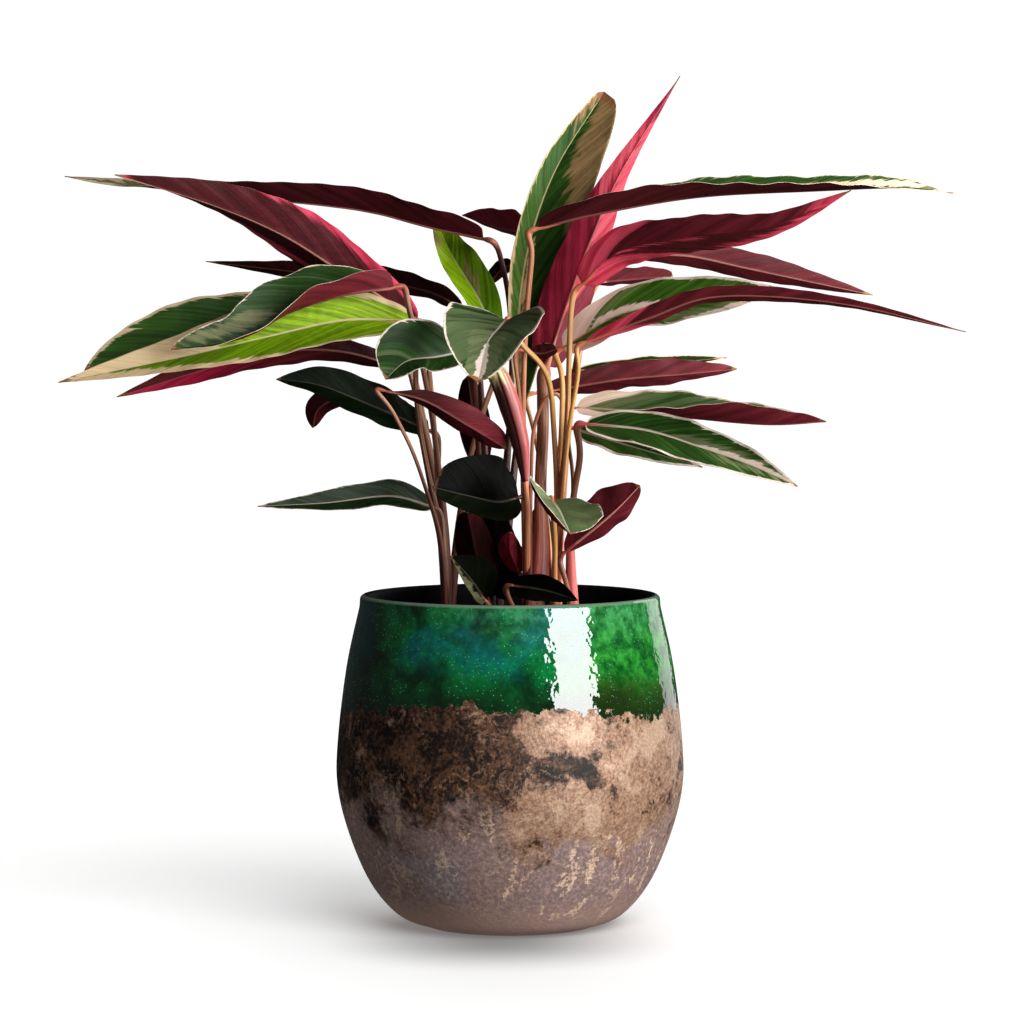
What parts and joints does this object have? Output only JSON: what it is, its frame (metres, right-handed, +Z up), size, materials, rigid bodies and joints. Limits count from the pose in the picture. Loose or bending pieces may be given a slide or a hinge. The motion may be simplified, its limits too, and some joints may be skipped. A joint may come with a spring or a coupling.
{
  "type": "potted stromanthe triostar",
  "caption": "Prayer-family houseplant with long pointed blades, green and cream above and burgundy below, on bundled leaf stalks in a round glazed pot full of soil.",
  "frame": {"origin": "middle of the pot's base, on the surface it stands on", "axes": "+Z up along the pot's axis, -Y towards the side that most leaves face, +X to that viewer's right"},
  "size_m": [0.5466, 0.2733, 0.5146],
  "materials": {
    "glaze": "gloss glaze, green at the top running into mottled metallic brown below",
    "soil": "loose dark peat and bark, matt",
    "leaf_upper": "satin green with feathered cream and pink streaks, cream margin and pale midrib",
    "leaf_under": "soft satin burgundy with pink zones and a pale pink midrib",
    "stalk_brown": "satin brown to orange",
    "stalk_dark": "satin dark maroon",
    "stalk_pink": "satin pink to brown, finely streaked",
    "stalk_orange": "satin golden orange"
  },
  "bodies": {
    "root": {"pot": "glaze", "soil": "soil", "leaf_left_high": "leaf_under", "leaf_left_keeled": "leaf_under", "leaf_left_bright": "leaf_upper", "leaf_left_broad": "leaf_upper", "leaf_left_under": "leaf_under", "leaf_left_rear": "leaf_under", "leaf_left_longest": "leaf_under", "leaf_rear_short": "leaf_under", "leaf_rear_hook": "leaf_under", "leaf_rear_shade": "leaf_under", "leaf_left_dark": "leaf_upper", "leaf_left_tip": "leaf_under", "leaf_left_low": "leaf_upper", "leaf_mid_bright": "leaf_upper", "leaf_mid_upright": "leaf_upper", "leaf_mid_pink": "leaf_under", "leaf_mid_flap": "leaf_under", "leaf_front_large": "leaf_upper", "leaf_front_oval": "leaf_upper", "leaf_front_maroon": "leaf_under", "leaf_front_shadow": "leaf_upper", "leaf_front_silver": "leaf_upper", "leaf_low_burgundy": "leaf_under", "leaf_low_pink": "leaf_under", "leaf_rim_left": "leaf_upper", "leaf_rim_right": "leaf_upper", "leaf_low_rear": "leaf_under", "leaf_low_shade": "leaf_under", "leaf_mid_shade": "leaf_under", "leaf_right_longest": "leaf_under", "leaf_right_pink": "leaf_under", "leaf_right_stub": "leaf_under", "leaf_right_rear": "leaf_under", "leaf_right_cream": "leaf_upper", "leaf_right_ribbon": "leaf_under", "leaf_right_maroon": "leaf_under", "leaf_right_edge": "leaf_upper", "leaf_right_keeled": "leaf_under", "leaf_right_striped": "leaf_upper", "leaf_right_lower": "leaf_upper", "leaf_rolled": "leaf_under", "shoot_left": "stalk_brown", "shoot_back": "stalk_dark", "shoot_middle": "stalk_pink", "shoot_orange": "stalk_orange", "shoot_right": "stalk_pink"}
  },
  "joints": []
}
